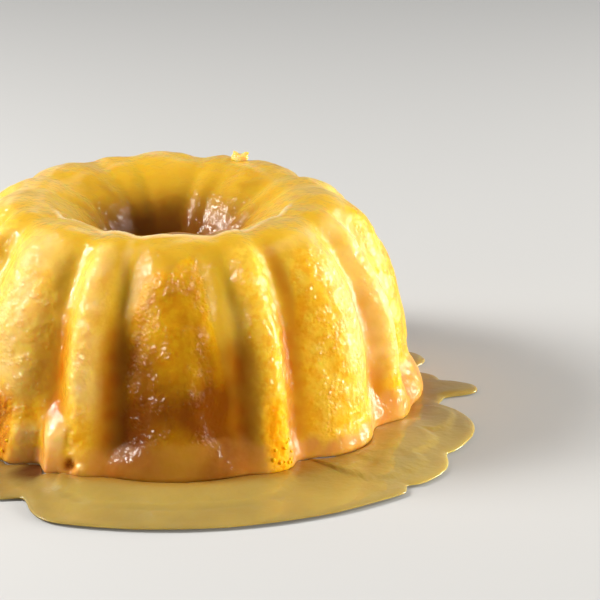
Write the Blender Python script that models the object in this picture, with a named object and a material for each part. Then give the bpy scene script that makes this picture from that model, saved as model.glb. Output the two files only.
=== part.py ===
"""Glazed fluted ring cake in its puddle of butter glaze.

Units are metres and +Z is up. The cake's axis is the Z axis, its underside lies on z = 0 and a
wide lobe faces -Y. An azimuth is an angle in degrees from -Y towards +X.
"""
import math
import random
from collections import namedtuple

import bmesh
import bpy
import numpy as np

# The ring without its flutes
FOOT_RADIUS = 0.1150
CREST_RADIUS = 0.0705
CAKE_HEIGHT = 0.0966
SIDE_FULLNESS = 1.20
SHOULDER_FULLNESS = 0.565
SIDE_LEAN = 0.073
CURVE_STEPS = 400
HOLE_BASE_RADIUS = 0.0215
THROAT_RADIUS = 0.0275
THROAT_HEIGHT = 0.062
FUNNEL_ROUNDNESS = 1.85
FOOT_EDGE = 0.0016

# The flutes: eight wide lobes and eight narrow ridges between them
PERIODS = 8
PERIOD = 360.0 / PERIODS
RIDGE_HALF_WIDTH = 7.3
LOBE_HALF_WIDTH = PERIOD / 2 - RIDGE_HALF_WIDTH
FLUTE_DEPTH = 0.0108
FLUTE_FULL_RADIUS = 0.095
CREST_FLUTE_SHARE = 0.165
HOLE_FLUTE_SHARE = 0.05
LOBE_ROUNDNESS = 2.5
RIDGE_ROUNDNESS = 2.5
GROOVE_ROUNDNESS = 2.0
RIDGE_CREST_DROP = 0.0004

# Unevenness round the ring, which dies out at the foot and in the hole
WOBBLE_SEED = 11
WOBBLE_HARMONICS = 9
WOBBLE_SIZE = 0.00014
WOBBLE_LEAST_TWIST = 0.5
WOBBLE_MOST_TWIST = 3.0
WOBBLE_WAVE_ALONG = 6.0
WOBBLE_FOOT_HEIGHT = 0.02
FLAT_FOOT_HEIGHT = 0.01
PLAIN_HOLE_HEIGHT = 0.03

# Thick glaze that lies on the cake
CAP_THICKNESS = 0.0014
CAP_EDGE_HEIGHT = 0.084
CAP_EDGE_SWING = 0.003
CAP_EDGE_WAVES = ((3.0, 40.0), (7.0, 0.0))
CAP_EDGE_SOFTNESS = 0.0045
CAP_GROOVE_DROP = 0.015
CAP_HOLE_HEIGHT = 0.055
TONGUE_AZIMUTH = 12.2
TONGUE_HALF_WIDTH = 6.0
TONGUE_DROP = 0.019
SKIRT_THICKNESS = 0.0017
SKIRT_HEIGHT = 0.0125
SKIRT_SOFTNESS = 0.0060
SKIRT_SWING = 0.35
SKIRT_WAVES = 5.0
SKIRT_WAVE_START = 70.0
RIM_BEAD_THICKNESS = 0.0008
RIM_BEAD_WIDTH = 0.0075
RIM_BEAD_INSET = 0.0115

# Drips stand on the foot: their length is measured up from it
Drip = namedtuple("Drip", "azimuth half_width length thickness")
DRIPS = (
    Drip(-38.6, 0.0046, 0.028, 0.0046),
    Drip(-29.6, 0.0062, 0.034, 0.0120),
    Drip(60.0, 0.0070, 0.020, 0.0024),
    Drip(104.5, 0.0080, 0.030, 0.0034),
    Drip(141.0, 0.0075, 0.034, 0.0036),
    Drip(196.0, 0.0095, 0.022, 0.0030),
    Drip(246.5, 0.0080, 0.032, 0.0038),
    Drip(285.0, 0.0070, 0.024, 0.0032),
)
DRIP_FUNNEL = 0.9
DRIP_FULL_SHARE = 0.5

# Where glaze has banked up and widened the foot; half widths in degrees
FootBank = namedtuple("FootBank", "azimuth half_width swell")
FOOT_BANKS = (
    FootBank(86.0, 17.0, 0.0038),
    FootBank(182.0, 15.0, 0.0030),
    FootBank(268.0, 16.0, 0.0042),
)
FOOT_BANK_HEIGHT = 0.018
FOOT_BANK_FULL_SHARE = 0.3

# Where the skirt of glaze has filled the flutes at the foot; half widths in degrees
FootFill = namedtuple("FootFill", "azimuth half_width")
FOOT_FILLS = (
    FootFill(0.0, 34.0),
    FootFill(82.0, 24.0),
    FootFill(150.0, 30.0),
    FootFill(205.0, 22.0),
    FootFill(262.0, 34.0),
)
FOOT_FILL_SHARE = 0.92
FOOT_FILL_LOW = 0.0070
FOOT_FILL_HIGH = 0.0175

# Facets of the cake
LOBE_STEPS = 10
RIDGE_STEPS = 6
SIDE_ROWS = 22
FUNNEL_ROWS = 10
THROAT_ROWS = 4
BASE_ROWS = 2

# The puddle
CAKE_GAP = 0.0007
POOL_THICKNESS = 0.0026
POOL_EDGE_ROUND = 0.0042
POOL_DIP_AT_CAKE = 0.0011
POOL_DIP_WIDTH = 0.012
POOL_CONTACT_HEIGHT = 0.0042
POOL_MARGIN = 0.0050
POOL_COLUMN_STEP = 2.45
POOL_ROWS = (0.0, 0.20, 0.44, 0.68, 0.87, 0.965, 1.0)
BARE_SPOT_AZIMUTH = -32.6
BARE_SPOT_HALF_WIDTH = 3.2
BARE_SPOT_REACH = 0.0060

# Flows of the puddle: azimuths where each starts and ends, reach from the axis, lengths of its
# rounded start and end in degrees, and thickness over the puddle's own
Flow = namedtuple("Flow", "start end reach round_start round_end extra")
POOL_FLOWS = (
    Flow(-28.3, 40.3, 0.1650, 10.0, 3.5, 0.0000),
    Flow(-29.6, 30.0, 0.1490, 5.0, 16.0, 0.0007),
    Flow(36.0, 59.0, 0.1620, 5.0, 15.0, -0.0003),
    Flow(49.0, 78.5, 0.1530, 8.0, 17.0, -0.0004),
    Flow(40.0, 66.0, 0.1380, 9.0, 9.0, 0.0005),
    Flow(77.0, 98.5, 0.1305, 5.0, 7.0, -0.0004),
    Flow(82.2, 91.2, 0.1475, 3.4, 3.4, 0.0000),
    Flow(100.0, 112.0, 0.1315, 5.5, 5.5, 0.0000),
    Flow(116.0, 146.0, 0.1290, 12.0, 12.0, -0.0002),
    Flow(148.0, 206.0, 0.1650, 22.0, 18.0, 0.0000),
    Flow(158.0, 194.0, 0.1460, 14.0, 12.0, 0.0007),
    Flow(206.0, 232.0, 0.1420, 9.0, 8.0, -0.0003),
    Flow(236.0, 252.0, 0.1330, 7.0, 6.0, 0.0000),
    Flow(262.0, 274.0, 0.1475, 4.5, 4.0, -0.0001),
    Flow(270.0, 300.0, 0.1360, 8.0, 10.0, 0.0005),
    Flow(288.0, 335.0, 0.1530, 14.0, 9.5, -0.0005),
)

GLAZED_CRUMB_COLOUR = (0.80, 0.42, 0.045, 1.0)
GLAZED_CRUMB_ROUGHNESS = 0.28
GLAZE_COLOUR = (0.66, 0.52, 0.24, 1.0)
GLAZE_ROUGHNESS = 0.12


def clear_scene():
    for item in list(bpy.data.objects):
        bpy.data.objects.remove(item, do_unlink=True)


def make_material(name, colour, roughness):
    material = bpy.data.materials.new(name)
    material.use_nodes = True
    shader = material.node_tree.nodes["Principled BSDF"]
    shader.inputs["Base Color"].default_value = colour
    shader.inputs["Roughness"].default_value = roughness
    shader.inputs["Metallic"].default_value = 0.0
    material.diffuse_color = colour
    return material


def add_object(name, mesh_data, material):
    mesh = bpy.data.meshes.new(name)
    mesh_data.to_mesh(mesh)
    mesh_data.free()
    mesh.materials.append(material)
    mesh.shade_smooth()
    item = bpy.data.objects.new(name, mesh)
    bpy.context.scene.collection.objects.link(item)
    return item


def angle_between(azimuth, centre):
    """Signed angle from centre to azimuth, between -180 and 180 degrees."""
    return (azimuth - centre + 180.0) % 360.0 - 180.0


def fade(value, start, end):
    """Smooth step that is 0 at start and 1 at end."""
    share = min(1.0, max(0.0, (value - start) / (end - start)))
    return share * share * (3.0 - 2.0 * share)


def bump(offset, half_width):
    """Rounded hump that is 1 in the middle and 0 from half_width on."""
    share = min(1.0, abs(offset) / half_width)
    return (1.0 - share * share) ** 2


def make_wobble():
    """Sum of a few waves round the ring, which makes every lobe a little different."""
    draw = random.Random(WOBBLE_SEED)
    waves = [(count, draw.uniform(0.0, math.tau), draw.uniform(WOBBLE_LEAST_TWIST, WOBBLE_MOST_TWIST))
             for count in range(1, WOBBLE_HARMONICS + 1)]

    def wobble(azimuth, along):
        turn = math.radians(azimuth)
        return WOBBLE_SIZE * sum(math.sin(count * turn + start + twist * along)
                                 for count, start, twist in waves)

    return wobble


def outer_curve():
    """Radius and height along the plain outer side, from the foot to the crest."""
    turn = np.linspace(0.0, math.pi / 2, CURVE_STEPS)
    height = CAKE_HEIGHT * np.sin(turn) ** SHOULDER_FULLNESS
    across = np.clip(np.cos(turn), 0.0, 1.0)
    radius = CREST_RADIUS + (FOOT_RADIUS - CREST_RADIUS) * across ** SIDE_FULLNESS
    return np.column_stack([radius - SIDE_LEAN * height * np.sqrt(across), height])


def funnel_curve():
    """Radius and height along the plain funnel, from the crest down to the throat."""
    share = np.linspace(0.0, 1.0, CURVE_STEPS)
    drop = (1.0 - share ** FUNNEL_ROUNDNESS) ** (1.0 / FUNNEL_ROUNDNESS)
    radius = CREST_RADIUS - (CREST_RADIUS - THROAT_RADIUS) * share
    return np.column_stack([radius, THROAT_HEIGHT + (CAKE_HEIGHT - THROAT_HEIGHT) * drop])


def even_rows(curve, count):
    """count + 1 points at even distances along a curve."""
    length = np.concatenate([[0.0], np.cumsum(np.hypot(*np.diff(curve, axis=0).T))])
    marks = np.linspace(0.0, length[-1], count + 1)
    return np.column_stack([np.interp(marks, length, curve[:, 0]),
                            np.interp(marks, length, curve[:, 1])])


def ring_profile():
    """Rows of the profile as (radius, height, outward normal, side), foot first."""
    side = even_rows(outer_curve(), SIDE_ROWS)
    funnel = even_rows(funnel_curve(), FUNNEL_ROWS)
    throat = even_rows(np.array([funnel[-1], [HOLE_BASE_RADIUS, 0.0]]), THROAT_ROWS)
    points = np.vstack([side, funnel[1:], throat[1:]])
    tangent = np.gradient(points, axis=0)
    tangent /= np.hypot(tangent[:, 0], tangent[:, 1])[:, None]
    normal = np.column_stack([tangent[:, 1], -tangent[:, 0]])
    kinds = ["side"] * (SIDE_ROWS + 1) + ["hole"] * (FUNNEL_ROWS + THROAT_ROWS)
    return [(point[0], point[1], push, kind) for point, push, kind in zip(points, normal, kinds)]


def lobe_offset(azimuth):
    """Angle from the middle of the nearest lobe."""
    return abs(angle_between(azimuth, round(azimuth / PERIOD) * PERIOD))


def flute_section(azimuth):
    """Depth of the flutes at an azimuth: 0 on a lobe or a ridge, 1 in a groove."""
    offset = lobe_offset(azimuth)
    if offset < LOBE_HALF_WIDTH:
        share = (offset / LOBE_HALF_WIDTH) ** LOBE_ROUNDNESS
    else:
        share = ((PERIOD / 2 - offset) / RIDGE_HALF_WIDTH) ** RIDGE_ROUNDNESS
    return 1.0 - (1.0 - share) ** GROOVE_ROUNDNESS


def ridge_share(azimuth):
    """1 along the top of a ridge, 0 from its grooves on."""
    return bump(PERIOD / 2 - lobe_offset(azimuth), RIDGE_HALF_WIDTH)


def flute_share(radius, height, kind):
    """Share of the full flute depth: whole on the side, less on the crest and in the hole."""
    if kind == "side":
        outward = fade(radius, CREST_RADIUS, FLUTE_FULL_RADIUS)
        return CREST_FLUTE_SHARE + (1.0 - CREST_FLUTE_SHARE) * outward
    upward = fade(height, THROAT_HEIGHT, CAKE_HEIGHT)
    return HOLE_FLUTE_SHARE + (CREST_FLUTE_SHARE - HOLE_FLUTE_SHARE) * upward


def foot_fill(azimuth, height):
    """Share of the flute depth that the skirt of glaze fills at the foot."""
    fill = max(bump(angle_between(azimuth, place.azimuth), place.half_width) for place in FOOT_FILLS)
    return FOOT_FILL_SHARE * math.sqrt(fill) * (1.0 - fade(height, FOOT_FILL_LOW, FOOT_FILL_HIGH))


def cap_edge(azimuth):
    """Height down to which the thick glaze on top reaches: lower in the grooves."""
    swing = sum(math.sin(math.radians(count * azimuth + start)) for count, start in CAP_EDGE_WAVES)
    edge = CAP_EDGE_HEIGHT + CAP_EDGE_SWING * swing - CAP_GROOVE_DROP * flute_section(azimuth)
    return edge - TONGUE_DROP * bump(angle_between(azimuth, TONGUE_AZIMUTH), TONGUE_HALF_WIDTH)


def drip_swell(azimuth, radius, height):
    """Thickness of the drips at a place on the side: wide at the top, narrow at the foot."""
    swell = 0.0
    for drip in DRIPS:
        across = math.radians(angle_between(azimuth, drip.azimuth)) * radius
        width = drip.half_width * (1.0 + DRIP_FUNNEL * max(0.0, height) / drip.length)
        upward = fade(height, DRIP_FULL_SHARE * drip.length, drip.length)
        swell = max(swell, drip.thickness * bump(across, width) * (1.0 - upward))
    return swell


def bank_swell(azimuth, height):
    """How far the banked-up glaze widens the foot at a place."""
    swell = sum(bank.swell * bump(angle_between(azimuth, bank.azimuth), bank.half_width)
                for bank in FOOT_BANKS)
    return swell * (1.0 - fade(height, FOOT_BANK_FULL_SHARE * FOOT_BANK_HEIGHT, FOOT_BANK_HEIGHT))


def glaze_swell(azimuth, radius, height, kind):
    """Thickness of all the thick glaze at a place."""
    rim = RIM_BEAD_THICKNESS * bump(radius - CREST_RADIUS + RIM_BEAD_INSET, RIM_BEAD_WIDTH)
    if kind == "hole":
        return CAP_THICKNESS * fade(height, CAP_HOLE_HEIGHT, CAKE_HEIGHT) + rim
    edge = cap_edge(azimuth)
    cap = CAP_THICKNESS * fade(height, edge - CAP_EDGE_SOFTNESS, edge + CAP_EDGE_SOFTNESS)
    swing = math.sin(math.radians(SKIRT_WAVES * azimuth + SKIRT_WAVE_START))
    top = SKIRT_HEIGHT * (1.0 + SKIRT_SWING * swing)
    skirt = SKIRT_THICKNESS * (1.0 - fade(height, top - SKIRT_SOFTNESS, top + SKIRT_SOFTNESS))
    return cap + rim + skirt + bank_swell(azimuth, height) + drip_swell(azimuth, radius, height)


def cake_columns():
    """Azimuths of the facets' edges, with one along every groove."""
    lobe = [LOBE_HALF_WIDTH * (2.0 * step / LOBE_STEPS - 1.0) for step in range(LOBE_STEPS)]
    ridge = [LOBE_HALF_WIDTH + 2.0 * RIDGE_HALF_WIDTH * step / RIDGE_STEPS
             for step in range(RIDGE_STEPS)]
    return [index * PERIOD + azimuth for index in range(PERIODS) for azimuth in lobe + ridge]


def cake_ring_point(azimuth, row, along, wobble):
    """Radius and height of the finished surface."""
    radius, height, push, kind = row
    swell = glaze_swell(azimuth, radius, height, kind)
    swell += wobble(azimuth, along) * fade(height, 0.0, WOBBLE_FOOT_HEIGHT)
    depth = FLUTE_DEPTH * flute_section(azimuth) * flute_share(radius, height, kind)
    swell -= depth * (1.0 - foot_fill(azimuth, height) * (kind == "side"))
    inward = 1.0 - fade(radius, CREST_RADIUS, FLUTE_FULL_RADIUS)
    swell -= RIDGE_CREST_DROP * ridge_share(azimuth) * inward
    if kind == "hole":
        swell *= fade(height, 0.0, PLAIN_HOLE_HEIGHT)
    lifted = max(0.0, height + push[1] * swell * fade(height, 0.0, FLAT_FOOT_HEIGHT))
    return radius + push[0] * swell, lifted


def cake_surface():
    """Polar points of the cake: one list of (radius, height) rows for each column."""
    wobble = make_wobble()
    profile = ring_profile()
    surface = []
    for azimuth in cake_columns():
        rows = [cake_ring_point(azimuth, row, WOBBLE_WAVE_ALONG * index / len(profile), wobble)
                for index, row in enumerate(profile)]
        foot_radius = rows[0][0] - FOOT_EDGE
        hole_radius = rows[-1][0]
        rows[0] = (rows[0][0], FOOT_EDGE)
        for step in range(BASE_ROWS + 1):
            share = (step + 1) / (BASE_ROWS + 2)
            rows.append((hole_radius + (foot_radius - hole_radius) * share, 0.0))
        rows.append((foot_radius, 0.0))
        surface.append((azimuth, rows))
    return surface


def polar(azimuth, radius, height):
    turn = math.radians(azimuth)
    return (radius * math.sin(turn), -radius * math.cos(turn), height)


def closed_skin(columns):
    """Mesh of a ring: every column is a closed loop of points, joined to the next column."""
    shape = bmesh.new()
    loops = [[shape.verts.new(polar(azimuth, radius, height)) for radius, height in rows]
             for azimuth, rows in columns]
    for loop, following in zip(loops, loops[1:] + loops[:1]):
        for index in range(len(loop)):
            after = (index + 1) % len(loop)
            shape.faces.new((loop[index], following[index], following[after], loop[after]))
    bmesh.ops.triangulate(shape, faces=shape.faces[:], quad_method="SHORT_EDGE")
    bmesh.ops.recalc_face_normals(shape, faces=shape.faces[:])
    return shape


def foot_outline(surface):
    """Azimuths of the columns, and the cake's widest radius where the puddle meets it."""
    azimuths = [azimuth for azimuth, rows in surface]
    radii = [max(radius for radius, height in rows if height < POOL_CONTACT_HEIGHT)
             for azimuth, rows in surface]
    return azimuths, radii


def flow_share(azimuth, flow):
    """How far out a flow reaches at an azimuth, from 0 at its ends to 1 in its middle."""
    half_width = (flow.end - flow.start) / 2.0
    offset = angle_between(azimuth, flow.start + half_width)
    if abs(offset) >= half_width:
        return 0.0
    share = 1.0
    ends = ((half_width + offset, flow.round_start), (half_width - offset, flow.round_end))
    for distance, length in ends:
        if distance < length:
            share = min(share, math.sqrt(1.0 - (1.0 - distance / length) ** 2))
    return share


def pool_reach(azimuth, inner):
    """Outer edge of the puddle, which is the farthest of its flows."""
    reach = inner + POOL_MARGIN
    for flow in POOL_FLOWS:
        reach = max(reach, inner + (flow.reach - inner) * flow_share(azimuth, flow))
    return reach


def round_edge(distance):
    """Share of the full thickness at a distance in from a flow's rounded edge."""
    depth = min(1.0, max(0.0, distance / POOL_EDGE_ROUND))
    return math.sqrt(depth * (2.0 - depth))


def pool_height(azimuth, radius, inner):
    """Top of the puddle, with each flow a rounded layer of its own."""
    height = POOL_THICKNESS * round_edge(inner + POOL_MARGIN - radius)
    for flow in POOL_FLOWS:
        edge = inner + (flow.reach - inner) * flow_share(azimuth, flow)
        height = max(height, (POOL_THICKNESS + flow.extra) * round_edge(edge - radius))
    return height - POOL_DIP_AT_CAKE * (1.0 - fade(radius, inner, inner + POOL_DIP_WIDTH))


def pool_columns(azimuths):
    """The cake's own columns, with more between them where they stand far apart."""
    columns = []
    for azimuth, following in zip(azimuths, azimuths[1:] + [azimuths[0] + 360.0]):
        steps = math.ceil((following - azimuth) / POOL_COLUMN_STEP)
        columns += [azimuth + (following - azimuth) * step / steps for step in range(steps)]
    return columns


def pool_surface(surface):
    """Polar points of the puddle, which keeps a small gap to the cake's foot."""
    azimuths, radii = foot_outline(surface)
    columns = []
    for azimuth in pool_columns(azimuths):
        foot = float(np.interp(azimuth, azimuths, radii, period=360.0))
        bare = BARE_SPOT_REACH * bump(angle_between(azimuth, BARE_SPOT_AZIMUTH), BARE_SPOT_HALF_WIDTH)
        inner = foot + CAKE_GAP + bare
        outer = pool_reach(azimuth, inner)
        rows = []
        for share in POOL_ROWS[:-1]:
            radius = inner + (outer - inner) * share
            rows.append((radius, pool_height(azimuth, radius, inner)))
        rows.append((outer, 0.0))
        rows.append((inner, 0.0))
        columns.append((azimuth, rows))
    return columns


def main():
    clear_scene()
    cake = cake_surface()
    crumb = make_material("glazed crumb", GLAZED_CRUMB_COLOUR, GLAZED_CRUMB_ROUGHNESS)
    glaze = make_material("glaze", GLAZE_COLOUR, GLAZE_ROUGHNESS)
    add_object("cake", closed_skin(cake), crumb)
    add_object("glaze_pool", closed_skin(pool_surface(cake)), glaze)


main()
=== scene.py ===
"""Looks of a glazed fluted ring cake in its puddle of butter glaze.

Units are metres and +Z is up. An azimuth is an angle in degrees from -Y towards +X, and the cake's
axis is the Z axis. A share is a number from 0 to 1 at each point of a surface, and says how much of
a finish lies there.
"""

import math
import random

import bmesh
import bpy
import numpy as np
from bpy.props import FloatProperty, FloatVectorProperty, IntProperty, PointerProperty
from mathutils import Euler, Matrix, Vector, noise
from mathutils.bvhtree import BVHTree


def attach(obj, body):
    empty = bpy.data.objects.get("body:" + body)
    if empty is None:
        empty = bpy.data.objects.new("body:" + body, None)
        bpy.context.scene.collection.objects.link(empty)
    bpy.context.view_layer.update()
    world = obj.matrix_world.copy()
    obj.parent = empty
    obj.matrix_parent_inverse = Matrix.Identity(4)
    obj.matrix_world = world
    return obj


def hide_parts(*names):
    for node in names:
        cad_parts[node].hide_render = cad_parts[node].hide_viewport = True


bl_info = {
    "name": "Glazed Ring Cake",
    "version": (1, 0, 0),
    "blender": (4, 5, 0),
    "location": "View3D > Sidebar > Ring Cake",
    "description": "Dresses a fluted ring cake with crumb, glaze, crumbs and a puddle of butter glaze",
    "category": "Add Mesh",
}

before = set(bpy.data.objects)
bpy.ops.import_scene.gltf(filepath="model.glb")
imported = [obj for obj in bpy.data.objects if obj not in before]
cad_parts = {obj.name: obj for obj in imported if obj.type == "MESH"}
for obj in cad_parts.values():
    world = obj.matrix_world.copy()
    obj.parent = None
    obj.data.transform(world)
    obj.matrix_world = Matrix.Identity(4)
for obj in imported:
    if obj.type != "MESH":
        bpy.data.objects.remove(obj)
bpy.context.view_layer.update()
BODY = "root"
MM = 0.001

# The flutes: wide lobes, with a groove at each side of them and a narrow ridge between each two
PERIOD = 45.0
GROOVE_OFFSET = 15.3
RIDGE_OFFSET = PERIOD / 2.0
# The highest ring of the top, and the distances from the axis where the side starts and is full
CREST_RADIUS = 70.5 * MM
SIDE_START = CREST_RADIUS + 2.0 * MM
SIDE_FULL = CREST_RADIUS + 10.0 * MM
# Distances from the axis between which what lies at the foot fades in
FOOT_RADII = (90.0 * MM, 100.0 * MM)


def colour_property(name, description, default):
    return FloatVectorProperty(name=name, description=description, subtype="COLOR", size=3,
                               min=0.0, max=1.0, default=default)


class CakeSettings(bpy.types.PropertyGroup):
    """Sizes and colours of the cake's own surface."""
    mesh_step: FloatProperty(
        name="Mesh step", description="Width of the faces of the cake's skin",
        default=1.31 * MM, unit="LENGTH")
    crumb_depth: FloatProperty(
        name="Crumb depth", description="Height of the lumps of crumb under the thin glaze",
        default=0.80 * MM, unit="LENGTH")
    wave_depth: FloatProperty(
        name="Wave depth", description="Height of the slow waves that the tin and the glaze leave",
        default=0.8 * MM, unit="LENGTH")
    crumb_colour: colour_property(
        "Crumb", "Butter crumb soaked with glaze", (0.96, 0.56, 0.007))
    deep_colour: colour_property(
        "Deep crumb", "Darker patches of the crumb", (0.87, 0.41, 0.002))
    # Painted shade: darker towards the foot, most on the shaded lobes, in the hole and in the gaps at the
    # foot
    painted_shade_colour: colour_property(
        "Foot", "Crumb soaked deeper towards the foot", (0.235, 0.060, 0.0004))
    # Partly a thin film of set glaze, partly painted sheen of the lights on the lit lobes
    cream_and_sheen_colour: colour_property(
        "Creamy film", "Crumb under a thin film of set glaze", (0.97, 0.66, 0.075))
    # Partly clear glaze pooled in the grooves, partly painted shade in them
    amber_and_shade_colour: colour_property(
        "Amber glaze", "Clear glaze that fills the grooves", (0.58, 0.175, 0.001))
    glaze_colour: colour_property(
        "Thick glaze", "Glaze where it lies thick over the crumb", (0.72, 0.435, 0.026))
    # Partly pale glaze, partly painted sheen and highlight on the lit lobes, on the top and at the tops of
    # the creamy runs
    milk_and_sheen_colour: colour_property(
        "Milky glaze", "Glaze where it has run together and turned pale", (0.92, 0.64, 0.22))
    bare_colour: colour_property(
        "Bare crumb", "Crumb that no glaze covers", (0.88, 0.39, 0.005))
    toast_colour: colour_property(
        "Toasted crumb", "Browned crumb at the foot", (0.42, 0.125, 0.008))
    # Partly a lip of glaze, partly a painted highlight along the front of the top
    lip_and_highlight_colour: colour_property(
        "Lip", "Pale edge of the glaze round the top", (0.98, 0.76, 0.42))
    skirt_colour: colour_property(
        "Skirt", "Glaze that has run down and set at the foot", (0.66, 0.29, 0.065))


class PuddleSettings(bpy.types.PropertyGroup):
    """Sizes and colours of the puddle."""
    tuck: FloatProperty(
        name="Tuck", description="How far the puddle reaches in under the skirt of the cake",
        default=2.6 * MM, unit="LENGTH")
    # The thin film is a sheet painted with deep shade, which stands in for the shaded gap between two runs
    # of glaze
    shade_film_reach: FloatProperty(
        name="Gap reach", description="How far a thin film reaches in between two runs of glaze",
        default=8.0 * MM, unit="LENGTH")
    gap_colour: colour_property(
        "Gap", "Deep shade under the glaze", (0.10, 0.035, 0.010))
    colour: colour_property(
        "Butter glaze", "Set butter glaze", (0.395, 0.285, 0.070))
    thin_colour: colour_property(
        "Thin glaze", "Glaze where it thins out", (0.34, 0.245, 0.074))
    # Painted shade on the left of the puddle
    shaded_glaze_colour: colour_property(
        "Dark glaze", "Clear glaze that the light hardly reaches", (0.165, 0.110, 0.034))


class ScrapSettings(bpy.types.PropertyGroup):
    """Sizes and numbers of the small loose pieces."""
    crumb_count: IntProperty(
        name="Crumbs", description="Number of loose crumbs", default=34, min=0)
    crumb_size: FloatProperty(
        name="Crumb size", description="Width of the largest crumb", default=2.2 * MM, unit="LENGTH")
    chip_size: FloatProperty(
        name="Chip size", description="Width of the chip of crust on the rim of the top",
        default=8.5 * MM, unit="LENGTH")


class StageSettings(bpy.types.PropertyGroup):
    """The camera, the lights and the floor."""
    lens: FloatProperty(
        name="Lens", description="Focal length in millimetres", default=143.96)
    camera_place: FloatVectorProperty(
        name="Camera", description="Where the camera stands", subtype="TRANSLATION",
        default=(-0.0232, -1.0718, 0.4161))
    camera_yaw: FloatProperty(
        name="Yaw", description="Turn of the camera to the right of +Y", subtype="ANGLE",
        default=math.radians(4.5036))
    camera_pitch: FloatProperty(
        name="Pitch", description="How far the camera looks down", subtype="ANGLE",
        default=math.radians(19.069))
    camera_roll: FloatProperty(
        name="Roll", description="Turn of the camera about its own axis", subtype="ANGLE",
        default=math.radians(0.7158))
    floor_colour: colour_property(
        "Floor", "Pale floor", (0.60, 0.61, 0.625))
    sky: FloatProperty(
        name="Sky", description="Brightness of the even light of the room", default=0.32)
    sky_gloss: FloatProperty(
        name="Sky gloss", description="Share of the sky that reflections show", default=0.2)
    key_power: FloatProperty(
        name="Key", description="Watts of the softbox on the right", default=23.0)
    window_power: FloatProperty(
        name="Window", description="Watts of the window at the left", default=27.0)
    right_power: FloatProperty(
        name="Right", description="Watts of the soft fill at the right", default=18.5)
    left_power: FloatProperty(
        name="Left", description="Watts of the soft fill at the left", default=3.0)


class CakeSceneSettings(bpy.types.PropertyGroup):
    """All settings of the add-on."""
    cake: PointerProperty(type=CakeSettings)
    puddle: PointerProperty(type=PuddleSettings)
    scraps: PointerProperty(type=ScrapSettings)
    stage: PointerProperty(type=StageSettings)


def select_only(item):
    bpy.ops.object.select_all(action="DESELECT")
    item.select_set(True)
    bpy.context.view_layer.objects.active = item


def apply_modifier(item, name, kind, **settings):
    """Adds a modifier with the settings given and applies it."""
    select_only(item)
    modifier = item.modifiers.new(name, kind)
    for key, value in settings.items():
        setattr(modifier, key, value)
    bpy.ops.object.modifier_apply(modifier=modifier.name)


def copy_of_node(node, name):
    """A merged copy of a node's mesh, in quads where its triangles pair up."""
    piece = bpy.data.objects.new(name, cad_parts[node].data.copy())
    piece.data.materials.clear()
    bpy.context.scene.collection.objects.link(piece)
    select_only(piece)
    bpy.ops.object.mode_set(mode="EDIT")
    bpy.ops.mesh.select_all(action="SELECT")
    bpy.ops.mesh.remove_doubles(threshold=0.01 * MM)
    bpy.ops.mesh.tris_convert_to_quads(face_threshold=math.radians(60.0),
                                       shape_threshold=math.radians(80.0))
    bpy.ops.object.mode_set(mode="OBJECT")
    return piece


def finish_piece(piece, material, replaced=None):
    piece.data.materials.append(material)
    piece.data.shade_smooth()
    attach(piece, BODY)
    if replaced:
        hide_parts(replaced)


def read_points(mesh, field="co"):
    values = np.empty(len(mesh.vertices) * 3, np.float32)
    mesh.vertices.foreach_get(field, values)
    return values.reshape(-1, 3).astype(float)


def write_points(mesh, points):
    mesh.vertices.foreach_set("co", points.astype(np.float32).ravel())
    mesh.update()


def write_attribute(mesh, name, values):
    """Keeps a share with each point of a mesh, where its material can read it."""
    layer = mesh.attributes.new(name, "FLOAT", "POINT")
    layer.data.foreach_set("value", np.clip(values, 0.0, 1.0).astype(np.float32))


def fade(value, start, end):
    """Smooth step that is 0 at start and 1 at end."""
    share = np.clip((value - start) / (end - start), 0.0, 1.0)
    return share * share * (3.0 - 2.0 * share)


def bump(offset, half_width):
    """Rounded hump that is 1 in the middle and 0 from half_width on."""
    share = np.minimum(1.0, np.abs(offset) / half_width)
    return (1.0 - share * share) ** 2


def angle_between(azimuth, centre):
    """Signed angle from centre to azimuth, between -180 and 180 degrees."""
    return (azimuth - centre + 180.0) % 360.0 - 180.0


def rough(points, size, shift=0.0):
    """Smooth noise from about -1 to 1, with lumps as wide as size, which may differ by axis."""
    return np.array([noise.noise(place) for place in (points / size + shift).tolist()])


def lumpy(points, size, shift=0.0):
    """Rounded lumps with creases between them, from 0 to about 1."""
    return np.minimum(1.0, 1.9 * np.abs(rough(points, size, shift)))


def on_circle(azimuth, third):
    """Points on a circle of radius 1, where noise has no seam, with a third coordinate."""
    turn = np.radians(azimuth)
    return np.column_stack([np.sin(turn), np.cos(turn), third])


def to_polar(points):
    """Azimuth in degrees, radius and height of each point."""
    azimuth = np.degrees(np.arctan2(points[:, 0], -points[:, 1]))
    return azimuth, np.hypot(points[:, 0], points[:, 1]), points[:, 2]


def from_polar(azimuth, radius, height):
    turn = math.radians(azimuth)
    return Vector((radius * math.sin(turn), -radius * math.cos(turn), height))


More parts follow.
